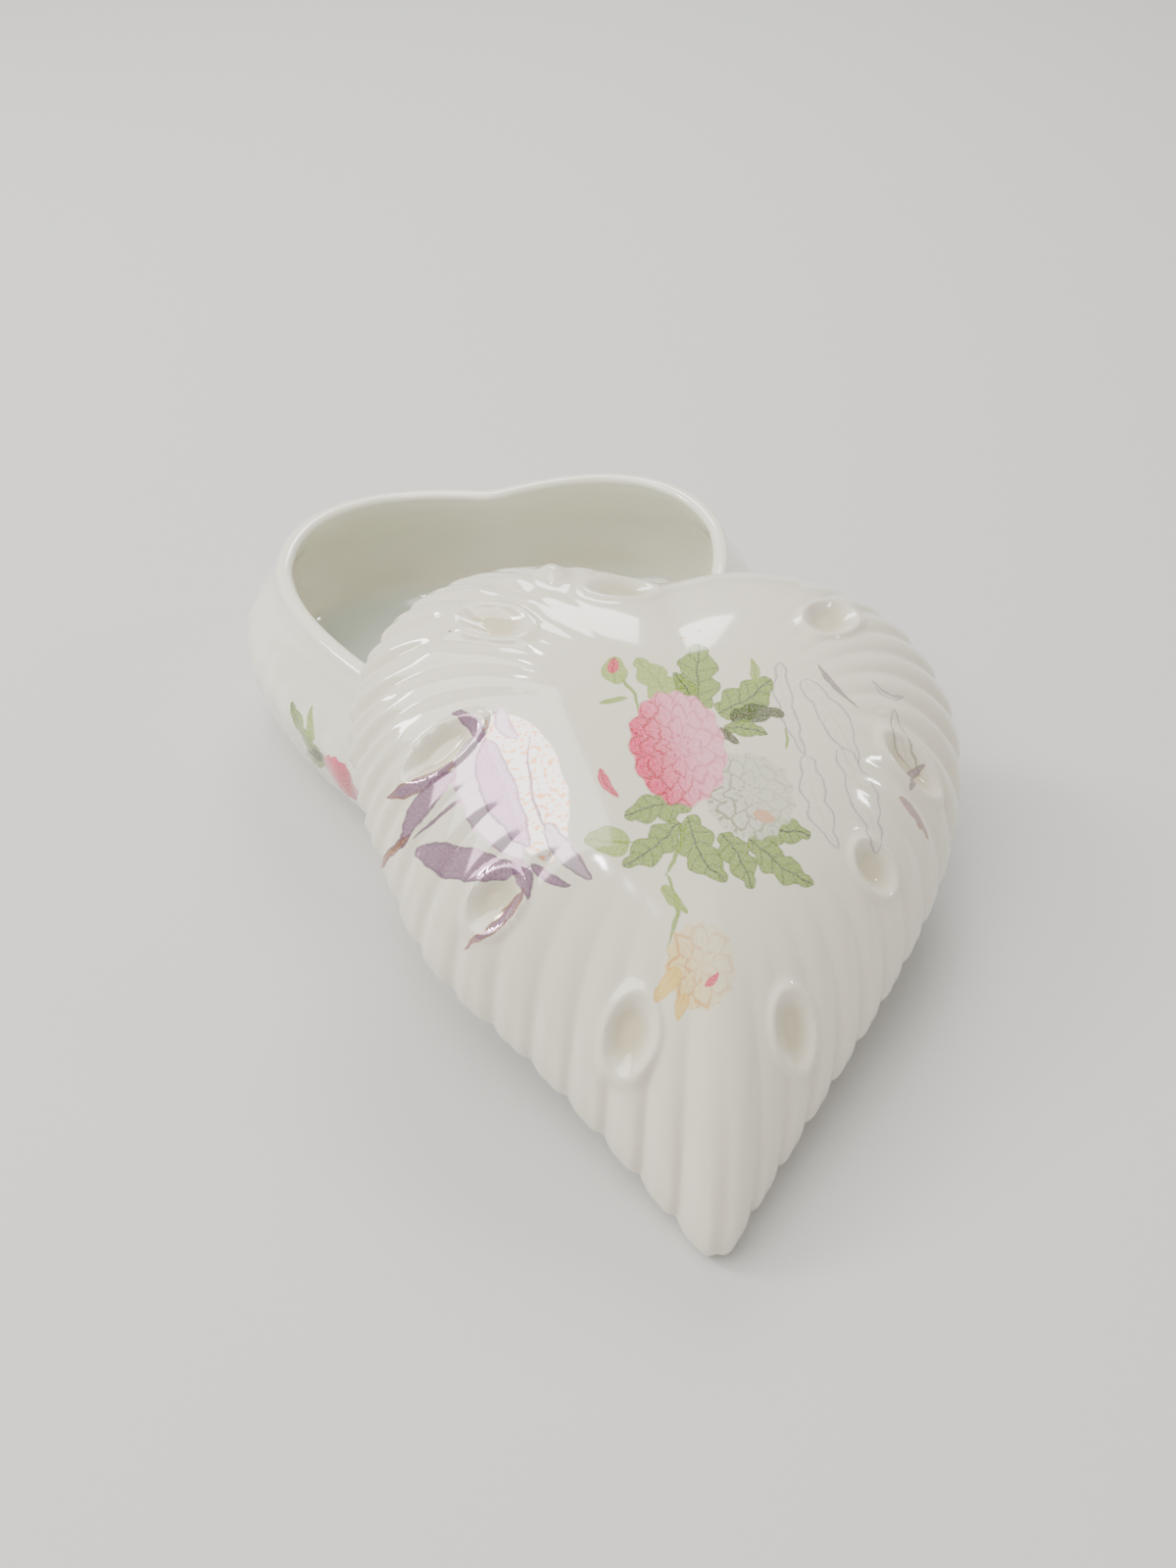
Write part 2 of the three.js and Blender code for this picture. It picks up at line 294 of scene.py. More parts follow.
# %% The lid's rings, from the crown over the edge to the hollow
outside_shares = np.sin(np.linspace(0, math.pi / 2, 111))
edge_turns = np.linspace(0, math.pi / 2, 9)[1:]
flat_insets = np.linspace(lid_edge_tuck, inner_inset, 4)[1:]
inside_shares = np.cos(np.linspace(0, math.pi / 2, 31))[1:]
lid_stations = (
    [("outside", share) for share in outside_shares]
    + [("edge", turn) for turn in edge_turns]
    + [("flat", inset) for inset in flat_insets]
    + [("inside", share) for share in inside_shares]
)


def lid_ring(kind, value, start, around):
    """Points of one ring in the lid's own millimetres, and how much glaze has pooled there"""
    if kind == "inside":
        radius = value * heart_radius(start, inner_inset)
        height = (lid_height - lid_wall) * math.sqrt(max(1 - value**3, 0))
        ring = np.stack([radius * np.sin(start), radius * np.cos(start), np.full_like(radius, height)], 1)
        return ring, np.zeros_like(radius)
    share = min(value, 1.0) if kind == "outside" else 1.0
    angle = curled_angle(start, share)
    fullness = left_fullness(angle)
    radius = heart_radius(angle) + fullness
    if kind == "outside":
        step = 0.002
        fall = (dome_height(share - step) - dome_height(share)) / (step * radius)
        tilt = np.arctan(fall) if share > step else np.zeros_like(radius)
        reach = share * radius
        push, pooling_and_shade = lid_relief(reach * np.sin(angle), reach * np.cos(angle), angle, around, share)
        reach = reach + push * np.sin(tilt)
        height = dome_height(share) + push * np.cos(tilt)
        return np.stack([reach * np.sin(angle), reach * np.cos(angle), height], 1), pooling_and_shade
    flutes = lid_flutes(angle, around, 1.0)
    inset = lid_edge_tuck * (1 - math.cos(value)) ** 0.8 if kind == "edge" else value
    height = lid_edge_height * (1 - math.sin(value)) if kind == "edge" else 0
    fade = 1 if kind == "edge" else 1 - (value - lid_edge_tuck) / (inner_inset - lid_edge_tuck)
    reach = heart_radius(angle, inset) + (fullness - flutes) * fade
    if kind == "flat" and value == flat_insets[-1]:
        return lid_ring("inside", 1.0, start, around)
    ring = np.stack([reach * np.sin(angle), reach * np.cos(angle), np.full_like(reach, height)], 1)
    return ring, np.zeros_like(reach)


print("lid rings:", len(lid_stations))

# %% [markdown]
# ## How the lid lies
# Three things hold the lid: the table under its tip and the box's lip on two sides. So its flat
# edge lies in one slanted plane. The plane's rise and the lid's heading are those of the solids,
# so that the modelled lid lands on its solid twin.

# %% The lid's own axes and its place
lid_rise = (-0.0776, 0.3905)
lid_heading = math.radians(-4.7)
lid_middle = Vector((9.1643, -21.4288, 26.7745))
lid_up = Vector((-lid_rise[0], -lid_rise[1], 1)).normalized()
heading = Vector((-math.sin(lid_heading), math.cos(lid_heading), 0))
lid_forward = (heading - heading.dot(lid_up) * lid_up).normalized()
lid_right = lid_forward.cross(lid_up)
lid_axes = np.array([lid_right, lid_forward, lid_up])


def place_lid(ring, column):
    own = np.empty((len(ring), 3))
    pooling_and_shade = np.empty(len(ring))
    for number, (kind, value) in enumerate(lid_stations):
        here = np.nonzero(ring == number)[0]
        starts = lid_starts[column[here]]
        own[here], pooling_and_shade[here] = lid_ring(kind, value, starts, column[here] / lid_columns)
    outside = (ring < len(outside_shares) + len(edge_turns)).astype(float)
    world = (own @ lid_axes + np.array(lid_middle)) / 1000
    world[:, 2] = np.maximum(world[:, 2], 0)
    return world, {"own_place": own, "pooling_and_shade": pooling_and_shade, "outside": outside}


lid = shell_from_ball("lid_porcelain", lid_columns, lid_stations, place_lid)
low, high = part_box("lid")
print("lid:", len(lid.data.polygons), "faces; solid from", tuple(low), "to", tuple(high))
print("modelled from", [min(v.co[i] for v in lid.data.vertices) for i in range(3)])
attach(lid, "root")
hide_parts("lid")

# %% [markdown]
# ## The box
# The box follows the same heart, set in so that the lid oversails it. Its wall leaves a thin
# rounded lip, swells to a belly and draws in to the foot, and the inside is a smooth copy one wall
# further in. Shallow flutes show on the belly. It could be turned if it were round. For a heart
# the ball is used again: its top pole becomes the middle of the floor inside.

# %% The box's sizes, in millimetres
box_height = 42
box_wall = 4
lip_rounding = 1.6
lip_inset = 10
belly_out = 10
belly_height = 23
foot_out = 1.5
foot_curve = 2.2
foot_width = 4
foot_recess = 1.5
floor_thickness = 4
floor_corner = 7
box_flute_depth = 0.7
box_middle = np.array([-11.43, 39.44, 0])
box_columns = 10 * flute_count
box_starts, _ = even_starts(box_columns, False)


def belly(height):
    if height > belly_height:
        return belly_out * float(smooth(box_height - height, 0, box_height - belly_height))
    return belly_out - (belly_out - foot_out) * (1 - height / belly_height) ** foot_curve


# %% The box's rings, from the floor over the lip to the foot
floor_height = foot_recess + floor_thickness
corner_turns = np.linspace(0, math.pi / 2, 9)[1:]
wall_heights = np.linspace(floor_height + floor_corner, box_height - lip_rounding, 26)[1:]
lip_turns = np.linspace(0, math.pi / 2, 8)[1:]
outer_heights = np.linspace(box_height - lip_rounding, 0, 46)[1:]


def wall_inset(height):
    return lip_inset - belly(height) + box_wall


box_stations = [("floor", share) for share in np.linspace(0, 1, 22)]
box_stations += [("corner", turn) for turn in corner_turns]
box_stations += [("wall", height) for height in wall_heights]
box_stations += [("inner lip", turn) for turn in lip_turns]
box_stations += [("outer lip", turn) for turn in lip_turns]
box_stations += [("outside", height) for height in outer_heights]
box_stations += [("foot", share) for share in (0.5, 1, 1.4)]
box_stations += [("under", share) for share in np.linspace(1, 0, 14)[1:]]
print("box rings:", len(box_stations))


def box_ring(kind, value, start, around):
    if kind in ("floor", "under"):
        height = floor_height if kind == "floor" else foot_recess
        inset = wall_inset(floor_height) + floor_corner if kind == "floor" else lip_inset + foot_width
        return value * heart_radius(start, inset), height
    if kind == "corner":
        height = floor_height + floor_corner * (1 - math.cos(value))
        return heart_radius(start, wall_inset(height) + floor_corner * (1 - math.sin(value))), height
    if kind == "wall":
        return heart_radius(start, wall_inset(value)), value
    if kind == "inner lip":
        height = box_height - lip_rounding * (1 - math.sin(value))
        return heart_radius(start, lip_inset + box_wall - lip_rounding * (1 - math.cos(value))), height
    if kind == "outer lip":
        height = box_height - lip_rounding * (1 - math.cos(value))
        return heart_radius(start, lip_inset + lip_rounding * (1 - math.sin(value))), height
    if kind == "foot":
        height = foot_recess if value > 1 else 0
        return heart_radius(start, lip_inset - foot_out + foot_width * value), height
    fade = smooth(value, 0, 0.3 * box_height) * smooth(box_height - value, 0.1 * box_height, 0.5 * box_height)
    inset = lip_inset - belly(value)
    return heart_radius(start, inset) - box_flute_depth * fade * valley(around), value


def place_box(ring, column):
    own = np.empty((len(ring), 3))
    unrolled = np.empty((len(ring), 3))
    outside = np.zeros(len(ring))
    pooling_and_shade = np.zeros(len(ring))
    for number, (kind, value) in enumerate(box_stations):
        here = np.nonzero(ring == number)[0]
        start = box_starts[column[here]]
        around = column[here] / box_columns
        reach, height = box_ring(kind, value, start, around)
        own[here] = np.stack([reach * np.sin(start), reach * np.cos(start), np.full_like(reach, height)], 1)
        unrolled[here] = np.stack([start * half_width, np.full_like(reach, height), np.zeros_like(reach)], 1)
        # painted shade: the floor and the corners inside take the cooler colour, where the light is lost
        # between the walls
        pooling_and_shade[here] = 1.0 if kind == "floor" else math.cos(value) if kind == "corner" else 0.0
        # the unrolled places jump at the tip, so no print is laid there
        away_from_tip = np.abs(start) < 0.97 * math.pi
        outside[here] = away_from_tip if kind == "outside" else 0.0
    return (own + box_middle) / 1000, {"own_place": unrolled, "pooling_and_shade": pooling_and_shade, "outside": outside}


box = shell_from_ball("box_porcelain", box_columns, box_stations, place_box)
print("box:", len(box.data.polygons), "faces")
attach(box, "root")
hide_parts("box")

# %% [markdown]
# ## Drawing in the shader
# The flowers are a transfer print under the glaze: flat leaves and petals with fine line work. A
# picture file could hold them, but a formula stays sharp at any distance. Each leaf or petal is
# one stroke: it runs from a start to an end, bows to one side and swells in the middle. Strokes
# are laid one over the other, as paint is, so one node group takes the paint below and gives the
# paint above.

# %% Helpers for node groups


def new_group(name, inputs, outputs):
    group = bpy.data.node_groups.new(name, "ShaderNodeTree")
    kinds = {"colour": "NodeSocketColor", "number": "NodeSocketFloat", "place": "NodeSocketVector"}
    for side, sockets in (("INPUT", inputs), ("OUTPUT", outputs)):
        for socket, kind in sockets.items():
            group.interface.new_socket(name=socket, in_out=side, socket_type=kinds[kind])
    return group, group.nodes.new("NodeGroupInput").outputs, group.nodes.new("NodeGroupOutput").inputs


def feed(tree, socket, value):
    if isinstance(value, bpy.types.NodeSocket):
        tree.links.new(value, socket)
    else:
        socket.default_value = value


def calc(tree, operation, *values, clamp=False):
    node = tree.nodes.new("ShaderNodeMath")
    node.operation = operation
    node.use_clamp = clamp
    for socket, value in zip(node.inputs, values):
        feed(tree, socket, value)
    return node.outputs[0]


def times(tree, product, *values):
    """The first value multiplied by each of the others"""
    for value in values:
        product = calc(tree, "MULTIPLY", product, value)
    return product


def vector_calc(tree, operation, *values, result="Vector"):
    node = tree.nodes.new("ShaderNodeVectorMath")
    node.operation = operation
    for socket, value in zip(node.inputs, values):
        feed(tree, socket, value)
    return node.outputs[result]


def ramp(tree, value, low, high, to_low=0.0, to_high=1.0):
    node = tree.nodes.new("ShaderNodeMapRange")
    node.interpolation_type = "SMOOTHSTEP"
    for socket, number in zip(node.inputs, (value, low, high, to_low, to_high)):
        feed(tree, socket, number)
    return node.outputs[0]


def mix(tree, share, below, above):
    node = tree.nodes.new("ShaderNodeMix")
    node.data_type = "RGBA"
    colours = [socket for socket in node.inputs if socket.type == "RGBA"]
    feed(tree, node.inputs[0], share)
    feed(tree, colours[0], below)
    feed(tree, colours[1], above)
    return [socket for socket in node.outputs if socket.type == "RGBA"][0]


def noise(tree, place, scale, detail=2.0):
    node = tree.nodes.new("ShaderNodeTexNoise")
    feed(tree, node.inputs["Vector"], place)
    node.inputs["Scale"].default_value = scale
    node.inputs["Detail"].default_value = detail
    return node.outputs[0], node.outputs[1]


def tone(red, green, blue):
    """A colour as it looks, 0 to 255, turned to the shader's own light values"""
    looks = [value / 255 for value in (red, green, blue)]
    lights = [((look + 0.055) / 1.055) ** 2.4 if look > 0.04 else look / 12.92 for look in looks]
    return (*lights, 1.0)


# %% A printed stroke, for leaves, petals and stems
half_share = 0.45
lobe_notch = 0.34
vein_count = 6.0
vein_slant = 0.8
stroke_group, given, result = new_group(
    "printed stroke",
    {"Paint": "colour", "Place": "place", "Start": "place", "End": "place", "Width": "number",
     "Bow": "number", "Lobes": "number", "Colour": "colour", "Veins": "colour", "Strength": "number",
     "Outline": "number", "Ribs": "number"},
    {"Paint": "colour", "Cover": "number"},
)
run = vector_calc(stroke_group, "SUBTRACT", given["End"], given["Start"])
run_length = vector_calc(stroke_group, "LENGTH", run, result="Value")
direction = vector_calc(stroke_group, "NORMALIZE", run)
rest = vector_calc(stroke_group, "SUBTRACT", given["Place"], given["Start"])
distance = vector_calc(stroke_group, "DOT_PRODUCT", rest, direction, result="Value")
along = calc(stroke_group, "DIVIDE", distance, run_length, clamp=True)
sideways = vector_calc(stroke_group, "CROSS_PRODUCT", direction, (0, 0, 1))
across = vector_calc(stroke_group, "DOT_PRODUCT", rest, sideways, result="Value")
hump = times(stroke_group, along, calc(stroke_group, "SUBTRACT", 1.0, along))
bowed = times(stroke_group, hump, 4.0, given["Bow"])
aside = calc(stroke_group, "ABSOLUTE", calc(stroke_group, "SUBTRACT", across, bowed))
swell_turn = times(stroke_group, calc(stroke_group, "POWER", along, 0.8), math.pi)
swell = calc(stroke_group, "MAXIMUM", calc(stroke_group, "SINE", swell_turn), 0.0)
swell = calc(stroke_group, "POWER", swell, 0.5)
lobe_turn = times(stroke_group, along, given["Lobes"], math.pi)
lobe_wave = calc(stroke_group, "ABSOLUTE", calc(stroke_group, "COSINE", lobe_turn))
lobed = calc(stroke_group, "ADD", 1 - lobe_notch, times(stroke_group, lobe_wave, lobe_notch))
half = times(stroke_group, swell, lobed, given["Width"], half_share)
room = calc(stroke_group, "SUBTRACT", half, aside)
filled = ramp(stroke_group, room, 0.0, 0.3)
side_share = calc(stroke_group, "DIVIDE", aside, calc(stroke_group, "MAXIMUM", half, 0.1))
slant = times(stroke_group, side_share, vein_slant)
slanted = calc(stroke_group, "SUBTRACT", times(stroke_group, along, vein_count), slant)
vein_wave = calc(stroke_group, "SINE", times(stroke_group, slanted, 2 * math.pi))
side_veins = ramp(stroke_group, vein_wave, 0.55, 0.95)
midrib = ramp(stroke_group, aside, 0.26, 0.08)
border = ramp(stroke_group, room, 0.85, 0.25)
ribs = calc(stroke_group, "MAXIMUM", midrib, times(stroke_group, side_veins, 0.45))
lines = times(stroke_group, ribs, given["Ribs"])
border_line = times(stroke_group, border, given["Outline"])
lines = calc(stroke_group, "MAXIMUM", lines, border_line, clamp=True)
stroke_colour = mix(stroke_group, lines, given["Colour"], given["Veins"])
cover = times(stroke_group, filled, given["Strength"])
feed(stroke_group, result["Paint"], mix(stroke_group, cover, given["Paint"], stroke_colour))
feed(stroke_group, result["Cover"], cover)
print("printed stroke:", len(stroke_group.nodes), "nodes")

# %% [markdown]
# A double flower, such as a chrysanthemum, is rows of petals round a middle. Its group works in
# rings: each row holds more petals than the one before, set off by half a petal, and each petal
# ends in an arc. The deep colour lies in the gaps and down one side, and the tips stay pale.

# %% A printed double flower
frill_count = 15
frill_depth = 0.035
first_petals = 5.0
more_petals = 3.0
flower_group, given, result = new_group(
    "printed double flower",
    {"Paint": "colour", "Place": "place", "Middle": "place", "Wide": "number", "Tall": "number",
     "Deep": "colour", "Mid": "colour", "Pale": "colour", "Rows": "number", "Strength": "number",
     "Shade": "number"},
    {"Paint": "colour"},
)
rest = vector_calc(flower_group, "SUBTRACT", given["Place"], given["Middle"])
split = flower_group.nodes.new("ShaderNodeSeparateXYZ")
feed(flower_group, split.inputs[0], rest)
flower_x = calc(flower_group, "DIVIDE", split.outputs[0], given["Wide"])
flower_y = calc(flower_group, "DIVIDE", split.outputs[1], given["Tall"])
square_x = times(flower_group, flower_x, flower_x)
square_y = times(flower_group, flower_y, flower_y)
reach = calc(flower_group, "SQRT", calc(flower_group, "ADD", square_x, square_y))
turn = calc(flower_group, "DIVIDE", calc(flower_group, "ARCTAN2", flower_y, flower_x), 2 * math.pi)
frill_wave = calc(flower_group, "COSINE", times(flower_group, turn, 2 * math.pi * frill_count))
reach = calc(flower_group, "ADD", reach, times(flower_group, frill_wave, frill_depth))
rows = times(flower_group, reach, given["Rows"])
row = calc(flower_group, "FLOOR", rows)
row_part = calc(flower_group, "FRACT", rows)
petals = calc(flower_group, "ADD", times(flower_group, row, more_petals), first_petals)
shifted = calc(flower_group, "ADD", times(flower_group, turn, petals), times(flower_group, row, 0.5))
sway = calc(flower_group, "SUBTRACT", calc(flower_group, "FRACT", shifted), 0.5)
sway = calc(flower_group, "ABSOLUTE", times(flower_group, sway, 2.0))
arc = calc(flower_group, "SUBTRACT", 0.95, times(flower_group, sway, sway, 0.65))
from_arc = calc(flower_group, "ABSOLUTE", calc(flower_group, "SUBTRACT", row_part, arc))
tip_line = ramp(flower_group, from_arc, 0.2, 0.05)
gap_line = times(flower_group, ramp(flower_group, sway, 0.75, 0.98), ramp(flower_group, row_part, 0.75, 0.2))
streak_wave = calc(flower_group, "SINE", times(flower_group, shifted, 6 * math.pi))
streaks = ramp(flower_group, streak_wave, 0.2, 0.9)
streaks = times(flower_group, streaks, ramp(flower_group, row_part, 0.7, 0.1))
drawn = calc(flower_group, "MAXIMUM", gap_line, times(flower_group, streaks, 0.5))
drawn = calc(flower_group, "MAXIMUM", tip_line, drawn)
leftwards = calc(flower_group, "ADD", flower_x, times(flower_group, flower_y, 0.35))
left_side = ramp(flower_group, leftwards, 0.5, -0.9)
shade = times(flower_group, left_side, given["Shade"])
body = mix(flower_group, shade, given["Pale"], given["Mid"])
line_strength = calc(flower_group, "ADD", 0.35, times(flower_group, left_side, 0.6))
drawn = calc(flower_group, "MULTIPLY", drawn, line_strength, clamp=True)
petal_colour = mix(flower_group, drawn, body, given["Deep"])
cover = times(flower_group, ramp(flower_group, reach, 1.0, 0.93), given["Strength"])
feed(flower_group, result["Paint"], mix(flower_group, cover, given["Paint"], petal_colour))
print("printed double flower:", len(flower_group.nodes), "nodes")

# %% [markdown]
# ## The glaze
# Clear glaze over white porcelain is very glossy and faintly uneven, and turns cream where it has
# pooled. The gloss is the shader's own coat. The unevenness is a weak bump at two sizes, and the
# cream follows the relief through the pooled values that came with the mesh. On the box's floor
# inside the same values carry a painted shade, cooler, in place of cream.

# %% A material with the glaze, ready for its print
porcelain_white = tone(235, 228, 210)
pooled_cream = tone(216, 205, 174)
cloud_cream = tone(222, 216, 201)
glaze_roughness = 0.08


def attribute(tree, name, output):
    node = tree.nodes.new("ShaderNodeAttribute")
    node.attribute_name = name
    return node.outputs[output]


def glaze_material(name, white, shade, pool_and_shade_colour):
    material = bpy.data.materials.new(name)
    material.use_nodes = True
    tree = material.node_tree
    shader = tree.nodes["Principled BSDF"]
    shader.inputs["IOR"].default_value = 1.52
    shader.inputs["Coat Weight"].default_value = 0.6
    shader.inputs["Coat Roughness"].default_value = 0.03
    shader.inputs["Subsurface Weight"].default_value = 0.2
    shader.inputs["Subsurface Scale"].default_value = 0.004
    shader.inputs["Subsurface Radius"].default_value = (1.0, 0.9, 0.75)
    coordinates = tree.nodes.new("ShaderNodeTexCoord").outputs["Object"]
    clouds, _ = noise(tree, coordinates, 45)
    ripples, _ = noise(tree, coordinates, 260, 1.0)
    # these values tint the glaze: cream where it has pooled on the lid, painted cooler shade on the box's
    # floor inside
    pooling_and_shade = ramp(tree, attribute(tree, "pooling_and_shade", "Fac"), 0.1, 1.0)
    tinted = mix(tree, pooling_and_shade, white, pool_and_shade_colour)
    cloudy = mix(tree, ramp(tree, clouds, 0.35, 0.75, 0.0, 0.2), tinted, shade)
    uneven = ramp(tree, clouds, 0.3, 0.8, glaze_roughness, glaze_roughness + 0.05)
    feed(tree, shader.inputs["Roughness"], uneven)
    bump = tree.nodes.new("ShaderNodeBump")
    bump.inputs["Strength"].default_value = 0.06
    bump.inputs["Distance"].default_value = 0.001
    feed(tree, bump.inputs["Height"], calc(tree, "ADD", clouds, times(tree, ripples, 0.15)))
    feed(tree, shader.inputs["Normal"], bump.outputs[0])
    return material, tree, shader, cloudy


print("the porcelain's white as light:", porcelain_white)

# %% Helpers that lay strokes and flowers on the paint


def wobbled_place(tree, amount):
    """The piece's own place in millimetres, a little unsteady, as drawn lines are"""
    place = attribute(tree, "own_place", "Vector")
    _, wander = noise(tree, place, 0.35, 1.0)
    centred = vector_calc(tree, "SUBTRACT", wander, (0.5, 0.5, 0.5))
    wandered = vector_calc(tree, "ADD", place, vector_calc(tree, "MULTIPLY", centred, (amount, amount, 0)))
    return vector_calc(tree, "MULTIPLY", wandered, (1, 1, 0))


def lay(tree, group, paint, place, **values):
    node = tree.nodes.new("ShaderNodeGroup")
    node.node_tree = group
    feed(tree, node.inputs["Paint"], paint)
    feed(tree, node.inputs["Place"], place)
    for name, value in values.items():
        feed(tree, node.inputs[name.capitalize()], value)
    return node.outputs


def stroke(tree, paint, place, start, end, width, colour, veins, bow=0.0, lobes=0.0, **more):
    values = {"strength": 0.9, "outline": 0.35, "ribs": 1.0, **more}
    return lay(tree, stroke_group, paint, place, start=(*start, 0), end=(*end, 0), width=width, bow=bow,
               lobes=lobes, colour=colour, veins=veins, **values)


def flower(tree, paint, place, middle, wide, tall, **values):
    return lay(tree, flower_group, paint, place, middle=(*middle, 0), wide=wide, tall=tall, **values)["Paint"]


def print_cover(tree, place):
    """Where the print holds: only outside, and a little thin where the transfer's grain is open"""
    grain = ramp(tree, noise(tree, place, 2.6, 3.0)[0], 0.36, 0.6, 0.78, 1.0)
    return times(tree, grain, attribute(tree, "outside", "Fac"))


# %% [markdown]
# ## The lid's print
# A pink and a white chrysanthemum lie on the crown, among leaves, and a small yellow rose hangs
# from a stem towards the tip. To the left is a lavender flower in lustre, to the right what is
# left of a faded one. Places are in the lid's own millimetres: right of its middle and towards
# the notch. The strokes below go on first and the flowers over them.

# %% Print colours
leaf_green = tone(130, 158, 50)
leaf_dark = tone(58, 82, 22)
leaf_pale = tone(160, 182, 86)
leaf_brown = tone(74, 62, 40)
crimson = tone(184, 0, 54)
rose_pink = tone(234, 52, 110)
blush = tone(248, 172, 192)
white_petal = tone(214, 214, 194)
white_shadow = tone(136, 138, 104)
rose_yellow = tone(240, 206, 108)
rose_ochre = tone(212, 148, 56)
lavender = tone(160, 108, 152)
lavender_deep = tone(112, 70, 112)
lavender_pink = tone(192, 150, 186)
lavender_pale = tone(204, 180, 202)
bronze = tone(160, 96, 40)
faded_line = tone(146, 126, 148)
brown_line = tone(112, 94, 84)
# pale pearl lustre with a painted reflection: the white stands in for a window mirrored in the lustre
pearl_and_reflection_white = tone(232, 226, 228)
pearl_gold = tone(232, 150, 70)
speck_brown = tone(90, 50, 30)
speck_orange = tone(200, 120, 50)

# %% Leaves, stems and buds: start, end, width, bow, lobes, colour, veins
lid_leaves = [
    ((-4, 13), (-10, 24), 6.5, 0.6, 3, leaf_pale, leaf_green),
    ((1, 13), (3, 28), 8.0, -0.6, 3, leaf_green, leaf_dark),
    ((0, 13), (-3, 21), 4.0, 0.4, 2, leaf_green, leaf_dark),
    ((4, 12), (15.5, 20), 7.0, 0.8, 3, leaf_green, leaf_dark),
    ((6, 11), (17, 12.5), 4.0, -0.6, 2, leaf_dark, leaf_brown),
    ((5, 9), (13, 8), 3.4, -0.6, 2, leaf_green, leaf_dark),
    ((4, 9), (7.5, 6), 2.6, 0.3, 0, leaf_brown, leaf_dark),
    ((12, 18), (12.5, 25), 2.4, 0.4, 0, leaf_pale, leaf_green),
    ((16, 5), (16.4, 10), 1.2, 0.3, 0, leaf_pale, leaf_green),
    ((-3, -6), (-15, -8), 5.6, 0.8, 3, leaf_green, leaf_dark),
    ((-5, -9), (-15.5, -16.5), 5.4, -0.7, 3, leaf_green, leaf_dark),
    ((-3.5, -8), (2, -20), 6.6, 1.4, 3, leaf_green, leaf_dark),
    ((2, -11), (7, -21), 5.6, -0.5, 3, leaf_green, leaf_dark),
    ((7, -12), (18.5, -20), 5.6, 0.7, 3, leaf_green, leaf_dark),
    ((9, -11), (19, -11), 5.0, -0.5, 3, leaf_green, leaf_dark),
    ((-4, -9), (-8.5, -19), 1.3, -0.5, 0, leaf_green, leaf_green),
    ((-8.3, -18), (-9, -31), 1.3, -2.0, 0, leaf_green, leaf_green),
    ((-9, -20), (-5, -25), 2.6, 0.3, 0, leaf_pale, leaf_green),
    ((-14, -13), (-21.5, -11.5), 4.6, 0.2, 0, leaf_pale, leaf_green),
    ((-13.5, 20), (-10.5, 11), 1.2, -0.8, 0, leaf_green, leaf_green),
    ((-12.6, 15), (-17.5, 14), 1.8, 0.2, 0, leaf_pale, leaf_green),
    ((-14.4, 18.2), (-13.9, 24.4), 4.4, 0.0, 0, leaf_pale, leaf_green),
    ((-14.4, 20.5), (-14, 24), 2.8, 0.0, 0, rose_pink, crimson),
    ((-20, -11.8), (-12, -12.5), 0.9, 0.2, 0, leaf_green, leaf_green),
    ((-43.9, 33.3), (-43.1, 33.3), 0.8, 0.0, 0, speck_brown, speck_brown),
    ((-0.6, 29.5), (0.8, 29.7), 1.0, 0.0, 0, speck_orange, speck_orange),
    ((3.2, 31.6), (4.0, 31.6), 0.7, 0.0, 0, speck_brown, speck_brown),
    ((-18.6, 1.2), (-15.2, -4.4), 2.4, 0.4, 0, rose_pink, crimson),
]
lid_iris = [
    ((-43.5, 15), (-38, 6), 3.0, -1.2, 0, lavender, lavender_deep),
    ((-55, 1.5), (-42.5, 5), 3.4, 0.8, 0, lavender, bronze),
    ((-43, 3), (-53, -8), 4.6, 1.4, 0, lavender, lavender_deep),
    ((-51, -6), (-57, -10), 2.2, 0.3, 0, bronze, lavender_deep),
    ((-50.5, -7), (-36.5, 0), 1.2, -0.9, 0, lavender, lavender_deep),
    ((-50, -9), (-32, -16), 6.4, 1.0, 0, lavender, lavender_deep),
    ((-34, -13.5), (-31.5, -21), 3.4, -0.9, 0, lavender, lavender_deep),
    ((-32, -19), (-42, -27), 2.4, -1.2, 0, lavender, bronze),
    ((-41, 9), (-32, -14), 9.0, 1.8, 0, lavender_pale, lavender),
    ((-38, 8), (-31, -12), 7.0, 1.0, 0, lavender_pink, lavender_deep),
    ((-35, 14.5), (-32, 8), 3.6, 1.2, 0, lavender_pale, lavender),
    ((-30, 9), (-21, -18), 0.9, 4.0, 0, lavender, lavender_deep),
    ((-28, -8), (-20.5, -18.5), 4.2, 0.8, 0, lavender_pale, lavender_deep),
    ((-31, -15), (-24, -19), 2.4, 0.6, 0, lavender, lavender_deep),
]
lid_faded = [
    ((18, 24), (20, 4), 5.0, 1.6, 3, porcelain_white, faded_line),
    ((22, 20), (30, 2), 8.0, -1.4, 2, porcelain_white, faded_line),
    ((20, 4), (24, -13), 7.0, 1.2, 3, porcelain_white, faded_line),
    ((27, 6), (33, -13), 8.0, -1.0, 2, porcelain_white, faded_line),
    ((26, 24), (33, 15), 1.6, 0.8, 0, faded_line, brown_line),
    ((37, 22), (45, 20), 2.0, 1.6, 0, porcelain_white, faded_line),
    ((41, 16), (46, 4), 4.4, 2.0, 0, porcelain_white, brown_line),
    ((42, 0), (47, 6), 2.6, -1.0, 0, faded_line, brown_line),
    ((39, -2), (46, -9), 2.2, -0.6, 0, faded_line, bronze),
]
print("strokes:", len(lid_leaves), "green,", len(lid_iris), "lavender and", len(lid_faded), "faded")

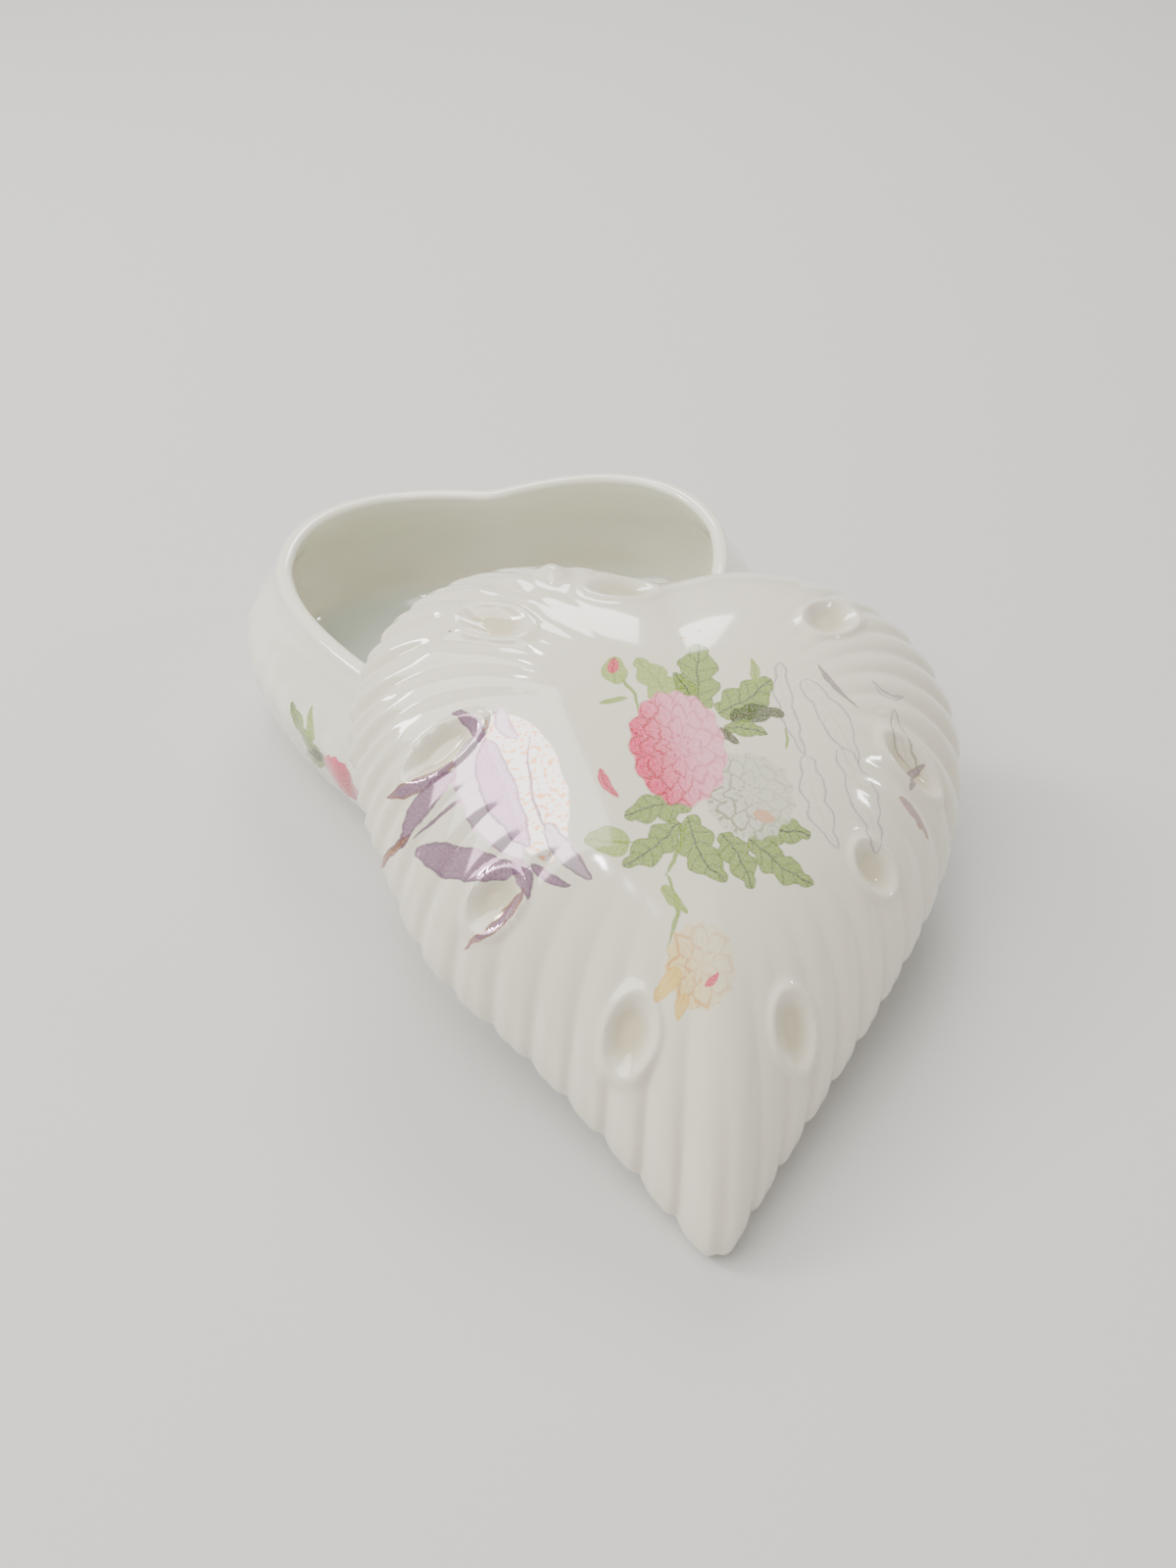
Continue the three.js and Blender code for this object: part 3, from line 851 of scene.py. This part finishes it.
# %% Lay the lid's print
lustre_metal = 0.55
leaf_broadening = 1.3
lid_material, tree, shader, paint = glaze_material(
    "lid_glaze_finish", porcelain_white, cloud_cream, pooled_cream
)
bare = paint
place = wobbled_place(tree, 1.3)
for start, end, width, bow, lobes, colour, veins in lid_faded:
    paint = stroke(tree, paint, place, start, end, width, colour, veins, bow, lobes,
                   strength=0.75, outline=0.9, ribs=0.2)["Paint"]
# Painted reflection with lustre: this pale pearl patch under the iris stands in for a window mirrored in the
# lustre. The lustre itself is made metallic below.
pearl_and_reflection = stroke(tree, paint, place, (-37, 13), (-27, -15), 15.0, pearl_and_reflection_white, porcelain_white, -1.0,
               strength=0.8, outline=0.0, ribs=0.0)
speckled = noise(tree, place, 1.1, 2.0)[0]
speckles = times(tree, ramp(tree, speckled, 0.54, 0.6), pearl_and_reflection["Cover"])
paint = mix(tree, speckles, pearl_and_reflection["Paint"], pearl_gold)
lustre = pearl_and_reflection["Cover"]
for start, end, width, bow, lobes, colour, veins in lid_iris:
    laid = stroke(tree, paint, place, start, end, width, colour, veins, bow, lobes, strength=0.85,
                  outline=0.8, ribs=0.0)
    paint = laid["Paint"]
    lustre = calc(tree, "MAXIMUM", lustre, laid["Cover"])
for start, end, width, bow, lobes, colour, veins in lid_leaves:
    broad = width * leaf_broadening if width > 3 else width
    paint = stroke(tree, paint, place, start, end, broad, colour, veins, bow, lobes)["Paint"]
paint = flower(tree, paint, place, (8.2, -4), 8.6, 8.4, deep=white_shadow, mid=white_petal,
               pale=white_petal, rows=3.6, strength=0.9, shade=0.5)
paint = flower(tree, paint, place, (-4, 5.2), 9.0, 11.8, deep=crimson, mid=rose_pink, pale=blush,
               rows=4.0, strength=0.97, shade=1.0)
paint = flower(tree, paint, place, (-3.2, -33.8), 6.0, 7.4, deep=rose_ochre, mid=rose_yellow,
               pale=tone(234, 224, 188), rows=2.2, strength=0.85, shade=0.8)
small_petals = [
    ((-7, -34), (-11, -39), 3.4, rose_yellow, rose_ochre),
    ((-6, -38), (-7.6, -42.5), 2.8, rose_yellow, rose_ochre),
    ((8.2, -7.4), (12.6, -8.6), 2.6, tone(224, 178, 140), tone(204, 120, 90)),
    ((-2.6, -37.6), (-0.6, -35.4), 1.5, rose_pink, crimson),
]
for start, end, width, colour, veins in small_petals:
    paint = stroke(tree, paint, place, start, end, width, colour, veins, ribs=0.3)["Paint"]
shine = times(tree, lustre, attribute(tree, "outside", "Fac"), lustre_metal)
feed(tree, shader.inputs["Metallic"], shine)
feed(tree, shader.inputs["Base Color"], mix(tree, print_cover(tree, place), bare, paint))
lid.data.materials.clear()
lid.data.materials.append(lid_material)
print("lid print:", len(tree.nodes), "nodes")

# %% [markdown]
# ## The box's glaze and print
# The box has the same glaze. Its floor and the corners inside are painted a little cooler: painted
# shade, where the light is lost between its walls. A small spray of leaves and a red flower show on
# its left front. Their places are along the wall and up it, as if the wall were unrolled.

# %% The box's finish
# the last colour is painted shade for the floor and the corners inside
box_material, tree, shader, paint = glaze_material(
    "box_glaze_finish", tone(243, 238, 221), tone(230, 233, 218), tone(220, 231, 222)
)
bare = paint
place = wobbled_place(tree, 1.2)
spray = [
    ((-126, 22), (-112, 28), 6.0, 0.6, 3, leaf_green, leaf_dark),
    ((-127, 20), (-115, 14), 6.0, -0.6, 3, leaf_green, leaf_dark),
    ((-128, 22), (-120, 20), 4.0, 0.3, 2, leaf_dark, leaf_brown),
    ((-124, 25), (-119, 31), 3.4, 0.5, 0, leaf_pale, leaf_green),
]
for start, end, width, bow, lobes, colour, veins in spray:
    paint = stroke(tree, paint, place, start, end, width, colour, veins, bow, lobes)["Paint"]
paint = flower(tree, paint, place, (-134, 19), 7.6, 6.4, deep=crimson, mid=tone(212, 84, 108),
               pale=rose_pink, rows=3.0, strength=0.97, shade=0.9)
feed(tree, shader.inputs["Base Color"], mix(tree, print_cover(tree, place), bare, paint))
box.data.materials.clear()
box.data.materials.append(box_material)
print("box print:", len(tree.nodes), "nodes")

# %% [markdown]
# ## Floor, camera and light
# The floor is plain and pale. The camera stands in front and above, turned a little, with a wide
# lens, as the photograph was taken. Porcelain shows its form by what it mirrors, so broad soft
# panels hang overhead and behind, and small ones give the crisp highlights.

# %% Floor
bpy.ops.object.select_all(action="DESELECT")
bpy.ops.mesh.primitive_plane_add(size=6, location=(0, 0, 0))
floor = bpy.context.object
floor.name = "floor"
floor_material = bpy.data.materials.new("floor_finish")
floor_material.use_nodes = True
floor_shader = floor_material.node_tree.nodes["Principled BSDF"]
floor_shader.inputs["Base Color"].default_value = tone(206, 205, 203)
floor_shader.inputs["Roughness"].default_value = 0.7
floor.data.materials.append(floor_material)

# %% Camera
camera_place = Vector((-38.36, -166.51, 198.77)) / 1000
camera_yaw = math.radians(-12.0)
camera_down = math.radians(46.44)
camera_roll = math.radians(1.11)
photo_height = 1600
focal_pixels = 1180
sensor = 36

turned = Matrix.Rotation(camera_yaw, 3, "Z") @ Matrix.Rotation(-camera_down, 3, "X")
right, forward, up = (turned.col[i] for i in range(3))
camera_x = math.cos(camera_roll) * right + math.sin(camera_roll) * up
camera_y = -math.sin(camera_roll) * right + math.cos(camera_roll) * up
camera_axes = Matrix((camera_x, camera_y, -forward)).transposed()
bpy.ops.object.camera_add()
camera = bpy.context.object
camera.matrix_world = Matrix.Translation(camera_place) @ camera_axes.to_4x4()
camera.data.sensor_fit = "VERTICAL"
camera.data.sensor_height = sensor
camera.data.lens = focal_pixels / photo_height * sensor
camera.data.clip_start = 0.01
bpy.context.scene.camera = camera
print("lens", camera.data.lens)

# %% Lights: place, size, power


def panel(name, place, width, height, power, colour=(1, 1, 1)):
    bpy.ops.object.light_add(type="AREA")
    light = bpy.context.object
    light.name = name
    light.location = place
    light.rotation_euler = (Vector((0, 0, 0.03)) - Vector(place)).to_track_quat("-Z", "Y").to_euler()
    light.data.shape = "RECTANGLE"
    light.data.size = width
    light.data.size_y = height
    light.data.energy = power
    light.data.color = colour


panel("overhead", (-0.52, 0.0, 1.2), 0.85, 1.2, 18, (1, 0.98, 0.94))
panel("behind", (0.25, 1.0, 1.0), 0.6, 0.4, 9)
panel("left window", (-0.9, 0.4, 0.8), 0.2, 0.3, 7)
panel("front lamp", (-0.08, -0.42, 1.1), 0.03, 0.05, 0.4)
panel("back lamp", (-0.1, 0.42, 1.05), 0.05, 0.05, 0.5)
panel("right lamp", (1.0, -0.1, 0.6), 0.04, 0.1, 0.7)
world = bpy.context.scene.world or bpy.data.worlds.new("world")
bpy.context.scene.world = world
world.use_nodes = True
world.node_tree.nodes["Background"].inputs["Color"].default_value = (0.92, 0.9, 0.86, 1)
world.node_tree.nodes["Background"].inputs["Strength"].default_value = 0.64
